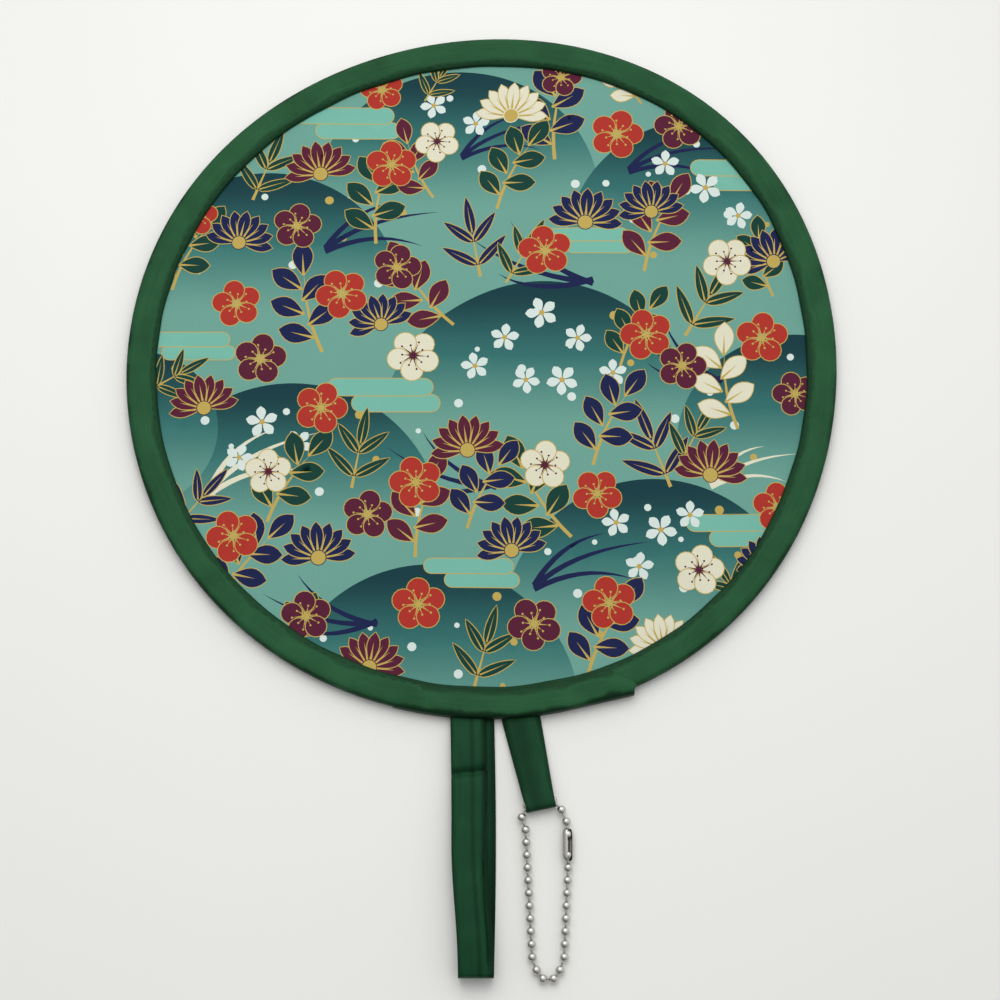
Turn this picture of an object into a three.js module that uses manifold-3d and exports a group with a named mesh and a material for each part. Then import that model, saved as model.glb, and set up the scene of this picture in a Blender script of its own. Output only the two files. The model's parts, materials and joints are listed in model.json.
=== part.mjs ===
// A pop-up hoop fan: a disc of printed cloth stretched in a spring-steel hoop and bound with satin tape,
// with a hand strap, a short tab and a loop of ball chain sewn to the rim.
// Millimetres. The fan lies on its back on z = 0, front up, and the strap points along -Y.
// The disc, the hoop and the binding are each in two halves that meet at the line where the fan folds.

import * as THREE from 'three';
import { mergeVertices } from 'three/addons/utils/BufferGeometryUtils.js';
import Module from 'manifold-3d';

const wasm = await Module();
wasm.setup();

// Disc and rim
const RIM_RADIUS = 97.5; // outside of the binding
const BINDING_WIDTH = 8.2; // from the rim's edge to the binding's inner lip
const TAPE_THICKNESS = 0.35;
const LAND_WIDTH = 1.7; // flat band of the rim, front and back, on which the fan rests
const EDGE_RADIUS = 0.6; // rounding of the rim's two edges
const CLOTH_THICKNESS = 0.2;
const RIM_FACETS = 72;

// Hoop strip and the ferrule that joins its ends
const HOOP_THICKNESS = 0.5; // across the strip, along the disc's radius
const HOOP_WIDTH = 1.8; // along z
const FERRULE_WALL = 0.25;
const FERRULE_LENGTH = 14;
const FERRULE_ANGLE = 205; // degrees round the disc from +X

// Seam thread and the lapped end of the binding tape
const THREAD_RADIUS = 0.15;
const THREAD_SIDES = 5;
const SEAM_INSET = 1.3; // from the binding's inner lip
const LAP_INSET = 2.4; // from the binding's inner lip to the lapped end's inner edge
const LAP_END = 294.5; // degrees round the disc, where the tape was cut
const LAP_SPAN = 32.5; // degrees of lap
const LAP_FLARE = 2.6; // how far the cut corner of the lapped end stands out
const LAP_FLARE_SPAN = 14; // degrees over which it leaves the rim

// Hand strap: a loop of tape, its two legs sewn together at the rim
const STRAP_WIDTH = 9.2;
const STRAP_THICKNESS = 0.7; // one leg of folded tape
const STRAP_LENGTH = 65.2;
const STRAP_SEAM = 5; // sewn length at the rim
const STRAP_RISE = 5.2; // how far the front leg bows away from the back leg
const STRAP_SPLAY = 2.6; // sideways shift of the front leg at the rim
const STRAP_X = -1.3;
const STRAP_STEPS = 14; // straight steps along the bow

// Chain tab: a short loop of tape whose far end is the tunnel that the chain runs through
const TAB_TOP_WIDTH = 10.2;
const TAB_END_WIDTH = 7.2;
const TAB_LENGTH = 22; // from the sewn root to the middle of the tunnel
const TAB_SEAM = 12; // length over which the two legs lie together
const TAB_ANGLE = 6.2; // degrees round the rim from -Y
const TAB_TILT = 12.2; // degrees by which the tab leans towards +X
const TAB_ROOT_HEIGHT = 1.3;
const SEAM_CROTCH = 0.04; // radius in the crotch where the legs part
const TAPE_FOLD_STEPS = 6; // straight steps in each half turn of tape

// Ball chain
const BEAD_DIAMETER = 2.38;
const LINK_GAP = 0.87; // between two balls of a straight strand
const BEND_GAP = 0.37; // between two balls of the bottom bend, where the chain is slack
const WIRE_RADIUS = 0.3;
const BEAD_FACETS = 10;
const BEAD_BANDS = 7;
const WIRE_FACETS = 6;
const MOUTH_INSET = 0.15; // from the tunnel's mouths to the middles of the balls that sit in them
const EXIT_SPREAD = 1.4; // how far out of the tunnel's mouth the left strand's first ball lies
const UPPER_ROWS = 4; // balls of the left strand beside the connector
const SWING_ROWS = 9; // pairs of balls below the connector
const LOOP_OFFSET = 1.95; // the loop's middle line from the middle of the tunnel, along X
const LOOP_HALF_WIDTH = 5.9; // at the first ball
const LOOP_TAPER = 0.16; // narrowing of each half from one row to the next
const LAST_HALF_WIDTH = 3.05; // at the last pair, where the bend begins
const CLASP_DROP = 4.43; // from the left strand's first ball down to the upper ball in the connector
const CONNECTOR_LENGTH = 8.5;
const CONNECTOR_WALL = 0.2;
const CONNECTOR_CHAMFER = 0.5;
const CONNECTOR_FACETS = 12;
const CONNECTOR_LEAD = 6; // how far above the upper ball the right strand turns towards the tab

// Clearances
const FIT = 0.2; // between pieces that slide into each other
const SEW_GAP = 0.3; // between pieces that are sewn or linked together
const FOLD_GAP = 0.3; // between the two halves of the disc
const FLOOR_GAP = 0.1; // under the strap and the chain

// Sizes that follow from the ones above, with heights in the rim measured from its middle plane
const BEAD_RADIUS = BEAD_DIAMETER / 2;
const FERRULE_REACH = HOOP_WIDTH / 2 + FIT + FERRULE_WALL;
const CAVITY_HALF = FERRULE_REACH + FIT;
const RIM_HALF = CAVITY_HALF + TAPE_THICKNESS;
const SLOT_HALF = CLOTH_THICKNESS / 2 + FIT;
const LIP_HALF = SLOT_HALF + TAPE_THICKNESS;
const CAVITY_RADIUS = RIM_RADIUS - TAPE_THICKNESS;
const FERRULE_OUTER = CAVITY_RADIUS - FIT;
const HOOP_OUTER = FERRULE_OUTER - FERRULE_WALL - FIT;
const HOOP_INNER = HOOP_OUTER - HOOP_THICKNESS;
const FERRULE_INNER = HOOP_INNER - FIT - FERRULE_WALL;
const CLOTH_RADIUS = FERRULE_INNER - FIT;
const LIP_RADIUS = RIM_RADIUS - BINDING_WIDTH;
const LAND_OUTER = RIM_RADIUS - EDGE_RADIUS;
const LAND_INNER = LAND_OUTER - LAND_WIDTH;
const PITCH = BEAD_DIAMETER + LINK_GAP;
const BEND_PITCH = BEAD_DIAMETER + BEND_GAP;
const TUNNEL_SPACING = TAB_END_WIDTH / 2 - MOUTH_INSET;
const TUNNEL_RADIUS = BEAD_RADIUS + FIT;
const TUNNEL_OUTER = TUNNEL_RADIUS + TAPE_THICKNESS;
const TUNNEL_HEIGHT = FLOOR_GAP + TUNNEL_OUTER;
const CLASP_SEAT = CONNECTOR_LENGTH / 2 - CONNECTOR_WALL - BEAD_RADIUS - FIT;
const UPPER_PITCH = (CLASP_DROP + 2 * CLASP_SEAT + PITCH) / UPPER_ROWS;
const LAST_ROW = UPPER_ROWS + SWING_ROWS - 1;

const radians = THREE.MathUtils.degToRad;

// Finishes, as functions that give each piece its own material
function finish(color, roughness, metalness) {
  return () => new THREE.MeshStandardMaterial({ color, roughness, metalness });
}

const satin = finish('#27533a', 0.45, 0);
const strapSatin = finish('#1f4530', 0.5, 0);
const printedCloth = finish('#5fa196', 0.7, 0);
const thread = finish('#234b34', 0.8, 0);
const springSteel = finish('#8d9196', 0.35, 1);
const nickel = finish('#c2c2bf', 0.25, 1);

const fan = new THREE.Group();

function addPiece(name, geometry, material, parent = fan) {
  const piece = new THREE.Mesh(geometry, material);
  piece.name = name;
  parent.add(piece);
  return piece;
}

// Joining and cutting closed meshes
function solidOf(geometry) {
  const bare = geometry.clone();
  bare.deleteAttribute('normal');
  bare.deleteAttribute('uv');
  const merged = mergeVertices(bare);
  const mesh = new wasm.Mesh({
    numProp: 3,
    vertProperties: new Float32Array(merged.attributes.position.array),
    triVerts: new Uint32Array(merged.index.array),
  });
  return new wasm.Manifold(mesh);
}

function geometryOf(solid) {
  const mesh = solid.getMesh();
  const geometry = new THREE.BufferGeometry();
  geometry.setAttribute('position', new THREE.BufferAttribute(mesh.vertProperties, 3));
  geometry.setIndex(new THREE.BufferAttribute(mesh.triVerts, 1));
  return geometry;
}

// Moves each vertex of a geometry by a function that changes the vector it is given
function shiftVertices(geometry, shift) {
  const places = geometry.attributes.position;
  const at = new THREE.Vector3();
  for (let i = 0; i < places.count; i += 1) {
    shift(at.fromBufferAttribute(places, i));
    places.setXYZ(i, at.x, at.y, at.z);
  }
  return geometry;
}

// A ring about the disc's axis, from the outline [radius, height above the middle plane] of its section,
// which runs outwards along its underside
function ring(section, facets = RIM_FACETS) {
  const outline = section.map(([radius, height]) => new THREE.Vector2(radius, height + RIM_HALF));
  outline.push(outline[0].clone());
  return new THREE.LatheGeometry(outline, facets).rotateX(Math.PI / 2);
}

function rectangle(inner, outer, half) {
  return [[inner, -half], [outer, -half], [outer, half], [inner, half]];
}

// A wedge of the disc between two angles in degrees
function wedge(from, to) {
  const reach = 2 * RIM_RADIUS;
  const shape = new THREE.Shape();
  shape.moveTo(0, 0);
  for (const angle of [from, (from + to) / 2, to]) {
    shape.lineTo(reach * Math.cos(radians(angle)), reach * Math.sin(radians(angle)));
  }
  const height = 4 * RIM_HALF;
  const options = { depth: height, bevelEnabled: false };
  return solidOf(new THREE.ExtrudeGeometry(shape, options).translate(0, 0, RIM_HALF - height / 2));
}

// The half of the fan on one side of the fold: -1 is the strap's side
function halfSpace(side) {
  const reach = 2 * RIM_RADIUS;
  const box = new THREE.BoxGeometry(2 * reach, reach, reach);
  return solidOf(box.translate(0, side * (reach / 2 + FOLD_GAP / 2), 0));
}

function addHalves(name, geometry, material) {
  const whole = solidOf(geometry);
  addPiece(`${name}_lower`, geometryOf(whole.intersect(halfSpace(-1))), material());
  addPiece(`${name}_upper`, geometryOf(whole.intersect(halfSpace(1))), material());
}

// Height of the binding's front face above the middle plane
function frontHeight(radius) {
  const slope = (RIM_HALF - LIP_HALF) / (LAND_INNER - LIP_RADIUS);
  return Math.min(RIM_HALF, LIP_HALF + slope * (radius - LIP_RADIUS));
}

function addCloth() {
  const disc = new THREE.CylinderGeometry(CLOTH_RADIUS, CLOTH_RADIUS, CLOTH_THICKNESS, RIM_FACETS);
  addHalves('cloth', disc.rotateX(Math.PI / 2).translate(0, 0, RIM_HALF), printedCloth);
}

function addHoop() {
  addHalves('hoop', ring(rectangle(HOOP_INNER, HOOP_OUTER, HOOP_WIDTH / 2)), springSteel);
  const outside = solidOf(ring(rectangle(FERRULE_INNER, FERRULE_OUTER, FERRULE_REACH)));
  const bore = rectangle(HOOP_INNER - FIT, HOOP_OUTER + FIT, HOOP_WIDTH / 2 + FIT);
  const halfSpan = THREE.MathUtils.radToDeg(FERRULE_LENGTH / HOOP_OUTER) / 2;
  const stretch = wedge(FERRULE_ANGLE - halfSpan, FERRULE_ANGLE + halfSpan);
  const sleeve = outside.subtract(solidOf(ring(bore))).intersect(stretch);
  addPiece('hoop_ferrule', geometryOf(sleeve), springSteel());
}

// The tape's section: two flanges that grip the cloth and a fold round the hoop
function addBinding() {
  const cut = EDGE_RADIUS * (1 - Math.SQRT1_2);
  const section = [
    [LIP_RADIUS, -LIP_HALF],
    [LAND_INNER, -RIM_HALF],
    [LAND_OUTER, -RIM_HALF],
    [RIM_RADIUS - cut, -RIM_HALF + cut],
    [RIM_RADIUS, -RIM_HALF + EDGE_RADIUS],
    [RIM_RADIUS, RIM_HALF - EDGE_RADIUS],
    [RIM_RADIUS - cut, RIM_HALF - cut],
    [LAND_OUTER, RIM_HALF],
    [LAND_INNER, RIM_HALF],
    [LIP_RADIUS, LIP_HALF],
    [LIP_RADIUS, SLOT_HALF],
    [LAND_INNER, CAVITY_HALF],
    [CAVITY_RADIUS, CAVITY_HALF],
    [CAVITY_RADIUS, -CAVITY_HALF],
    [LAND_INNER, -CAVITY_HALF],
    [LIP_RADIUS, -SLOT_HALF],
  ];
  addHalves('binding', ring(section), satin);
}

function addSeam() {
  const radius = LIP_RADIUS + SEAM_INSET;
  const height = frontHeight(radius) + SEW_GAP + THREAD_RADIUS;
  const section = [];
  for (let i = 0; i < THREAD_SIDES; i += 1) {
    const angle = (2 * Math.PI * i) / THREAD_SIDES;
    section.push([radius + THREAD_RADIUS * Math.cos(angle), height + THREAD_RADIUS * Math.sin(angle)]);
  }
  addHalves('seam_thread', ring(section), thread);
}

// The tape's end lies on the front of the rim, and its cut corner stands out past the edge
function addLap() {
  const inner = LIP_RADIUS + LAP_INSET;
  const outer = RIM_RADIUS - SEW_GAP;
  const under = [[inner, frontHeight(inner)], [LAND_INNER, RIM_HALF], [outer, RIM_HALF]];
  const lift = (by) => under.map(([radius, height]) => [radius, height + by]);
  const layer = ring([...lift(SEW_GAP), ...lift(SEW_GAP + TAPE_THICKNESS).reverse()], 2 * RIM_FACETS);
  shiftVertices(layer, (at) => {
    const angle = THREE.MathUtils.radToDeg(Math.atan2(at.y, at.x)) + 360;
    const radius = Math.hypot(at.x, at.y);
    const flare = LAP_FLARE * THREE.MathUtils.smoothstep(angle, LAP_END - LAP_FLARE_SPAN, LAP_END);
    const share = Math.max(0, (radius - LAND_INNER) / (outer - LAND_INNER));
    const grow = 1 + (flare * share) / radius;
    at.x *= grow;
    at.y *= grow;
  });
  const lap = solidOf(layer).intersect(wedge(LAP_END - LAP_SPAN, LAP_END));
  addPiece('binding_lap', geometryOf(lap), satin());
}

// A band of tape from its side outline, x away from the rim and y up, centred across its width
function tapeLoop(outline, width) {
  const options = { depth: width, bevelEnabled: false, curveSegments: TAPE_FOLD_STEPS };
  const geometry = new THREE.ExtrudeGeometry(outline, options);
  const lay = new THREE.Matrix4();
  lay.makeBasis(new THREE.Vector3(0, -1, 0), new THREE.Vector3(0, 0, 1), new THREE.Vector3(-1, 0, 0));
  return geometry.translate(0, 0, -width / 2).applyMatrix4(lay);
}

function strapRise(along) {
  const share = Math.max(0, (along - STRAP_SEAM) / (STRAP_LENGTH - STRAP_SEAM));
  return 4 * STRAP_RISE * share * (1 - share);
}

function addStrap() {
  const outline = new THREE.Shape();
  const gap = new THREE.Path();
  outline.absarc(STRAP_LENGTH, 0, STRAP_THICKNESS, -Math.PI / 2, Math.PI / 2, false);
  gap.moveTo(STRAP_LENGTH, 0);
  for (let i = 1; i < STRAP_STEPS; i += 1) {
    const along = THREE.MathUtils.lerp(STRAP_LENGTH, STRAP_SEAM, i / STRAP_STEPS);
    outline.lineTo(along, strapRise(along) + STRAP_THICKNESS);
    gap.lineTo(along, strapRise(along));
  }
  gap.lineTo(STRAP_SEAM, 0);
  outline.lineTo(STRAP_SEAM, STRAP_THICKNESS);
  outline.absarc(0, 0, STRAP_THICKNESS, Math.PI / 2, (3 * Math.PI) / 2, false);
  outline.holes.push(gap);
  const loop = shiftVertices(tapeLoop(outline, STRAP_WIDTH), (at) => {
    const front = THREE.MathUtils.clamp((at.z + STRAP_THICKNESS) / (2 * STRAP_THICKNESS), 0, 1);
    const nearRim = THREE.MathUtils.clamp(1 + at.y / STRAP_LENGTH, 0, 1);
    at.x -= STRAP_SPLAY * front * nearRim;
  });
  const strap = addPiece('hand_strap', loop, strapSatin());
  const rootY = -(RIM_RADIUS + SEW_GAP + STRAP_THICKNESS);
  strap.position.set(STRAP_X, rootY, FLOOR_GAP + STRAP_THICKNESS);
}

// The outline round two circles, the first at the rim's end
function drop(path, along, height, radius, farAlong, farHeight, farRadius) {
  const lean = Math.atan2(farHeight - height, farAlong - along);
  const apart = Math.hypot(farAlong - along, farHeight - height);
  const half = Math.PI / 2 + Math.asin((farRadius - radius) / apart);
  path.absarc(farAlong, farHeight, farRadius, lean - half, lean + half, false);
  path.absarc(along, height, radius, lean + half, lean - half + 2 * Math.PI, false);
  return path;
}

function addTab() {
  const tab = new THREE.Group();
  const corner = (TAB_TOP_WIDTH / 2) * Math.sin(radians(Math.abs(TAB_TILT - TAB_ANGLE)));
  const rootRadius = RIM_RADIUS + SEW_GAP + TAPE_THICKNESS + corner;
  tab.position.x = rootRadius * Math.sin(radians(TAB_ANGLE));
  tab.position.y = -rootRadius * Math.cos(radians(TAB_ANGLE));
  tab.position.z = TAB_ROOT_HEIGHT;
  tab.rotation.z = radians(TAB_TILT);
  fan.add(tab);
  const tunnelHeight = TUNNEL_HEIGHT - TAB_ROOT_HEIGHT;
  const seamHeight = (tunnelHeight * TAB_SEAM) / TAB_LENGTH;
  const outline = drop(new THREE.Shape(), 0, 0, TAPE_THICKNESS, TAB_LENGTH, tunnelHeight, TUNNEL_OUTER);
  const tunnel = new THREE.Path();
  drop(tunnel, TAB_SEAM, seamHeight, SEAM_CROTCH, TAB_LENGTH, tunnelHeight, TUNNEL_RADIUS);
  outline.holes.push(tunnel);
  const loop = shiftVertices(tapeLoop(outline, TAB_TOP_WIDTH), (at) => {
    const share = THREE.MathUtils.clamp(-at.y / TAB_LENGTH, 0, 1);
    at.x *= THREE.MathUtils.lerp(1, TAB_END_WIDTH / TAB_TOP_WIDTH, share);
  });
  addPiece('chain_tab', loop, strapSatin(), tab);
  tab.updateMatrixWorld();
  const inTunnel = (side) => {
    return tab.localToWorld(new THREE.Vector3(side * TUNNEL_SPACING, -TAB_LENGTH, tunnelHeight));
  };
  return { left: inTunnel(-1), mid: inTunnel(0), right: inTunnel(1) };
}

// A ball at a place, with the wire links that lead from it towards its next neighbours
function addBead(name, at, ...neighbours) {
  let ball = solidOf(new THREE.SphereGeometry(BEAD_RADIUS, BEAD_FACETS, BEAD_BANDS));
  for (const next of neighbours) {
    const way = next.clone().sub(at);
    const length = way.length() - BEAD_RADIUS - SEW_GAP;
    const wire = new THREE.CylinderGeometry(WIRE_RADIUS, WIRE_RADIUS, length, WIRE_FACETS);
    const turn = new THREE.Quaternion().setFromUnitVectors(new THREE.Vector3(0, 1, 0), way.normalize());
    ball = ball.add(solidOf(wire.translate(0, length / 2, 0).applyQuaternion(turn)));
  }
  addPiece(name, geometryOf(ball), nickel()).position.copy(at);
}

function addConnector(middle) {
  const half = CONNECTOR_LENGTH / 2;
  const inner = TUNNEL_RADIUS;
  const outer = inner + CONNECTOR_WALL;
  const hole = WIRE_RADIUS + SEW_GAP;
  const end = half - CONNECTOR_WALL;
  const upperHalf = [
    [outer, half - CONNECTOR_CHAMFER],
    [outer - CONNECTOR_CHAMFER, half],
    [hole, half],
    [hole, end],
    [inner - CONNECTOR_CHAMFER, end],
    [inner, end - CONNECTOR_CHAMFER],
  ];
  const lowerHalf = upperHalf.map(([radius, height]) => [radius, -height]).reverse();
  const outline = [...upperHalf, ...lowerHalf, upperHalf[0]].map(([x, y]) => new THREE.Vector2(x, y));
  const sleeve = new THREE.LatheGeometry(outline, CONNECTOR_FACETS);
  const connector = addPiece('chain_connector', sleeve, nickel());
  connector.position.copy(middle);
}

// The chain hangs from the tab as a loop: balls in the tunnel, four more on the left beside the connector,
// two on the right above it, then pairs of balls side by side and two in the bottom bend
function addChain(tunnel) {
  const middleX = tunnel.mid.x + LOOP_OFFSET;
  const exitDrop = Math.sqrt(PITCH ** 2 - EXIT_SPREAD ** 2);
  const first = tunnel.left.clone().add(new THREE.Vector3(-EXIT_SPREAD, -exitDrop, 0));
  const lowest = FLOOR_GAP + BEAD_RADIUS;
  const place = (row, side) => {
    const halfWidth = row === LAST_ROW ? LAST_HALF_WIDTH : LOOP_HALF_WIDTH - LOOP_TAPER * row;
    const height = THREE.MathUtils.lerp(TUNNEL_HEIGHT, lowest, (row + 1) / (LAST_ROW + 1));
    const fall = UPPER_PITCH * Math.min(row, UPPER_ROWS) + PITCH * Math.max(0, row - UPPER_ROWS);
    return new THREE.Vector3(middleX + side * halfWidth, first.y - fall, height);
  };
  const left = (row) => (row === 0 ? first : place(row, -1));
  const right = (row) => place(row, 1);

  const lastLeft = left(LAST_ROW);
  const bendDrop = Math.sqrt(BEND_PITCH ** 2 - (LAST_HALF_WIDTH - BEND_PITCH / 2) ** 2);
  const bend = (side) => {
    return new THREE.Vector3(middleX + (side * BEND_PITCH) / 2, lastLeft.y - bendDrop, lastLeft.z);
  };

  const firstRight = right(UPPER_ROWS);
  const claspMiddle = firstRight.clone().setZ(FLOOR_GAP + TUNNEL_RADIUS + CONNECTOR_WALL);
  claspMiddle.y += PITCH + CLASP_SEAT;
  const claspAt = (offset) => claspMiddle.clone().add(new THREE.Vector3(0, offset, 0));
  const claspUpper = claspAt(CLASP_SEAT);
  const turn = claspAt(CLASP_SEAT + CONNECTOR_LEAD);
  const descent = new THREE.QuadraticBezierCurve3(tunnel.right, turn, claspUpper);
  const upperRight = [descent.getPointAt(1 / 3), descent.getPointAt(2 / 3)];

  addBead('bead_tunnel_mid', tunnel.mid, tunnel.left, tunnel.right);
  addBead('bead_tunnel_left', tunnel.left, first);
  addBead('bead_tunnel_right', tunnel.right, upperRight[0]);
  addBead('bead_upper_right_1', upperRight[0], upperRight[1]);
  addBead('bead_upper_right_2', upperRight[1], claspUpper);
  addBead('bead_clasp_upper', claspUpper);
  addBead('bead_clasp_lower', claspAt(-CLASP_SEAT), firstRight);
  addConnector(claspMiddle);
  for (let row = 0; row < UPPER_ROWS; row += 1) {
    addBead(`bead_upper_left_${row + 1}`, left(row), left(row + 1));
  }
  for (let row = UPPER_ROWS; row < LAST_ROW; row += 1) {
    addBead(`bead_row_${row - UPPER_ROWS + 1}_left`, left(row), left(row + 1));
    addBead(`bead_row_${row - UPPER_ROWS + 1}_right`, right(row), right(row + 1));
  }
  addBead(`bead_row_${SWING_ROWS}_left`, lastLeft, bend(-1));
  addBead(`bead_row_${SWING_ROWS}_right`, right(LAST_ROW), bend(1));
  addBead('bead_bend_left', bend(-1), bend(1));
  addBead('bead_bend_right', bend(1));
}

addCloth();
addHoop();
addBinding();
addSeam();
addLap();
addStrap();
addChain(addTab());

// The origin lies under the middle of the whole fan
const bounds = new THREE.Box3().setFromObject(fan, true);
fan.position.x = -(bounds.min.x + bounds.max.x) / 2;
fan.position.y = -(bounds.min.y + bounds.max.y) / 2;

export default fan;
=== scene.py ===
import json
import math

import bmesh
import bpy
import numpy as np
from mathutils import Matrix, Vector, noise
from mathutils.geometry import delaunay_2d_cdt

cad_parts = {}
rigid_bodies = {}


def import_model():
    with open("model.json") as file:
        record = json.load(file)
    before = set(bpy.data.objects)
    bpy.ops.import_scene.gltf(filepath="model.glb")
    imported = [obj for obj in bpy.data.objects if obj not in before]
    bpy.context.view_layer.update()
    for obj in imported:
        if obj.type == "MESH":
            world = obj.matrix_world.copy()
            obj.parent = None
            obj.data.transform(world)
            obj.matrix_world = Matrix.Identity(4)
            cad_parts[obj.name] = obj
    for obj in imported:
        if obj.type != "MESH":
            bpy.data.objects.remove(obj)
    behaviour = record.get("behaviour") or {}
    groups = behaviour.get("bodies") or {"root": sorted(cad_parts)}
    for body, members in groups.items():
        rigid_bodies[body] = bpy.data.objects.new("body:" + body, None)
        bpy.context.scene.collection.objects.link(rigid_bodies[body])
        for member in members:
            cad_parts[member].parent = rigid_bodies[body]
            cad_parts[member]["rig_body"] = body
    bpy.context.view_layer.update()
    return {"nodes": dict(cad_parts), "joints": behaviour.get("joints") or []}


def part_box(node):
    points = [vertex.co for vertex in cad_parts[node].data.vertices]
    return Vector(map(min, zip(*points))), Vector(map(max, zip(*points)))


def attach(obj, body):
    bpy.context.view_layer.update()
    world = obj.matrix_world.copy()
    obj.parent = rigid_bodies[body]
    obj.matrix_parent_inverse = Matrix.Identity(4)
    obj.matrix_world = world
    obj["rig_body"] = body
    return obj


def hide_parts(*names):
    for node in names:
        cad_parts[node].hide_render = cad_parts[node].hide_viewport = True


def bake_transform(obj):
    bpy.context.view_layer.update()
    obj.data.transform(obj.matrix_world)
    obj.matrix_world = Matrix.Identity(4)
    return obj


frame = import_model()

bl_info = {
    "name": "Pop-up hoop fan",
    "version": (1, 0, 0),
    "blender": (4, 5, 0),
    "location": "3D View > Sidebar > Hoop Fan",
    "description": "Dresses a pop-up hoop fan: printed cloth, satin tape, stitches and ball chain",
    "category": "Add Mesh",
}

MM = 0.001
FULL_TURN = 2 * math.pi

# The rim and the joints, as the frame gives them
RIM_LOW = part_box("binding_lower")[0]
RIM_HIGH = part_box("binding_upper")[1]
RIM_RADIUS = (RIM_HIGH.y - RIM_LOW.y) / 2
RIM_HALF = RIM_HIGH.z / 2
CENTRE = Vector((0, (RIM_HIGH.y + RIM_LOW.y) / 2, RIM_HALF))
CLOTH_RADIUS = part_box("cloth_upper")[1].y - CENTRE.y
PIVOTS = {joint["name"]: Vector(joint["pos_m"]) for joint in frame["joints"]}

# The sprung hoop isn't quite round: waves round it, each a count, a height in mm and a phase in degrees
HOOP_WAVES = ((1, 0.6, 13), (2, 0.7, 78), (3, 0.8, 160), (4, 0.4, -170))

# How far the strap and the tab reach into the rim
TUCKED_IN = 2.2 * MM


def linear(code):
    """An sRGB hex colour as linear red, green, blue and alpha."""
    parts = [int(code[i:i + 2], 16) / 255 for i in (1, 3, 5)]
    return [p / 12.92 if p <= 0.04045 else ((p + 0.055) / 1.055) ** 2.4 for p in parts] + [1.0]


def colour(name, code, description):
    """A colour property whose default is a hex value."""
    return bpy.props.FloatVectorProperty(
        name=name, description=description, default=linear(code), size=4, min=0, max=1, subtype="COLOR"
    )


def distance(name, value, description):
    """A length property in metres."""
    return bpy.props.FloatProperty(
        name=name, description=description, default=value, min=0, precision=5, unit="LENGTH",
        subtype="DISTANCE",
    )


def smooth(low, high, value):
    """A smooth step from 0 at low to 1 at high, whichever of them is the greater."""
    share = min(1, max(0, (value - low) / (high - low)))
    return share * share * (3 - 2 * share)


def mix(a, b, share):
    return [x + (y - x) * share for x, y in zip(a, b)]


# Settings


class PrintSettings(bpy.types.PropertyGroup):
    """The printed cloth's inks and weave."""

    ground: colour("Ground", "#6A9E8F", "Light teal between the hills")
    hill: colour("Hill", "#133A40", "Dark teal along the crest of each hill")
    slope: colour("Slope", "#346E6A", "Middle teal half way down each hill")
    navy: colour("Navy", "#192149", "Dark blue petals and leaves")
    maroon: colour("Maroon", "#561D33", "Wine red petals and leaves")
    red: colour("Red", "#AA3228", "Vermilion blossoms")
    cream: colour("Cream", "#DBD7BE", "Cream blossoms and leaves")
    green: colour("Green", "#123D34", "Dark green leaves")
    mist: colour("Mist", "#74B3A0", "Pale teal bands of mist")
    white: colour("White", "#D2DDD6", "Snow dots and small flowers")
    gold: colour("Gold", "#BBA254", "Outlines, veins, stems and pollen")
    thickness: distance("Thickness", 0.2 * MM, "One layer of cloth")
    thread: distance("Thread", 0.5 * MM, "Spacing of the weave, drawn twice as coarse so that it shows")
    fade: distance("Fade", 44 * MM, "Height over which a hill fades into the ground")
    back: bpy.props.FloatProperty(
        name="Back", description="Share of the inks that soaks through to the back", default=0.78,
        min=0, max=1, subtype="FACTOR",
    )


class TapeSettings(bpy.types.PropertyGroup):
    """The satin tape of the rim, the strap and the tab."""

    satin: colour("Satin", "#21492D", "Bottle green satin of the rim")
    # Painted shade: a darker, shaded copy of the satin, for the strap, the tab and the thread.
    strap: colour("Strap", "#153A24", "The tape's duller, darker back, which shows on the strap and the tab")
    gloss: colour("Gloss", "#8FD8A4", "Tint of the satin's shine")
    thickness: distance("Thickness", 0.35 * MM, "One layer of tape")
    # Painted shade: the dye of the strap and the tab is darkened over this width along each edge.
    shaded_selvedge: distance("Selvedge", 1.2 * MM, "Width of the dull woven edge")
    # Painted shade: the dye is darkened over this width along the rim's sewn edge.
    shaded_hem: distance("Hem", 2.7 * MM, "Width of the rim's sewn edge, pressed dull by the stitching")
    float_spacing: distance("Floats", 0.4 * MM, "Spacing of the satin's floats, drawn as coarse as shows")
    stitches: bpy.props.IntProperty(
        name="Stitches", description="Stitches round the rim", default=204, min=12
    )


class ChainSettings(bpy.types.PropertyGroup):
    """The ball chain's metal."""

    nickel: colour("Nickel", "#C6C4BE", "Nickel plate of the balls and the connector")
    steel: colour("Spring steel", "#8C8F93", "The hoop's strip")
    ball: distance("Ball", 2.38 * MM, "Diameter of a ball")
    wire: distance("Wire", 0.62 * MM, "Diameter of the links between the balls")


class StageSettings(bpy.types.PropertyGroup):
    """Floor, light and camera."""

    floor: colour("Floor", "#ECEBE6", "Pale floor")
    room: colour("Room", "#F6F8FA", "Walls and window of the room")
    key: bpy.props.FloatProperty(
        name="Key", description="Power of the soft overhead light", default=0.78, min=0, unit="POWER"
    )
    lamp: distance("Lamp", 0.4, "Diameter of the soft overhead light")
    sky: bpy.props.FloatProperty(
        name="Sky", description="Strength of the room's own light", default=0.82, min=0
    )
    elevation: bpy.props.FloatProperty(
        name="Elevation", description="Camera's angle above the floor", default=math.radians(76),
        subtype="ANGLE",
    )
    lens: bpy.props.FloatProperty(name="Lens", description="Focal length in mm", default=80.7, min=1)


class FanSettings(bpy.types.PropertyGroup):
    """All settings of the fan."""

    cloth: bpy.props.PointerProperty(type=PrintSettings)
    tape: bpy.props.PointerProperty(type=TapeSettings)
    chain: bpy.props.PointerProperty(type=ChainSettings)
    stage: bpy.props.PointerProperty(type=StageSettings)


# Shared tools


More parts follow.
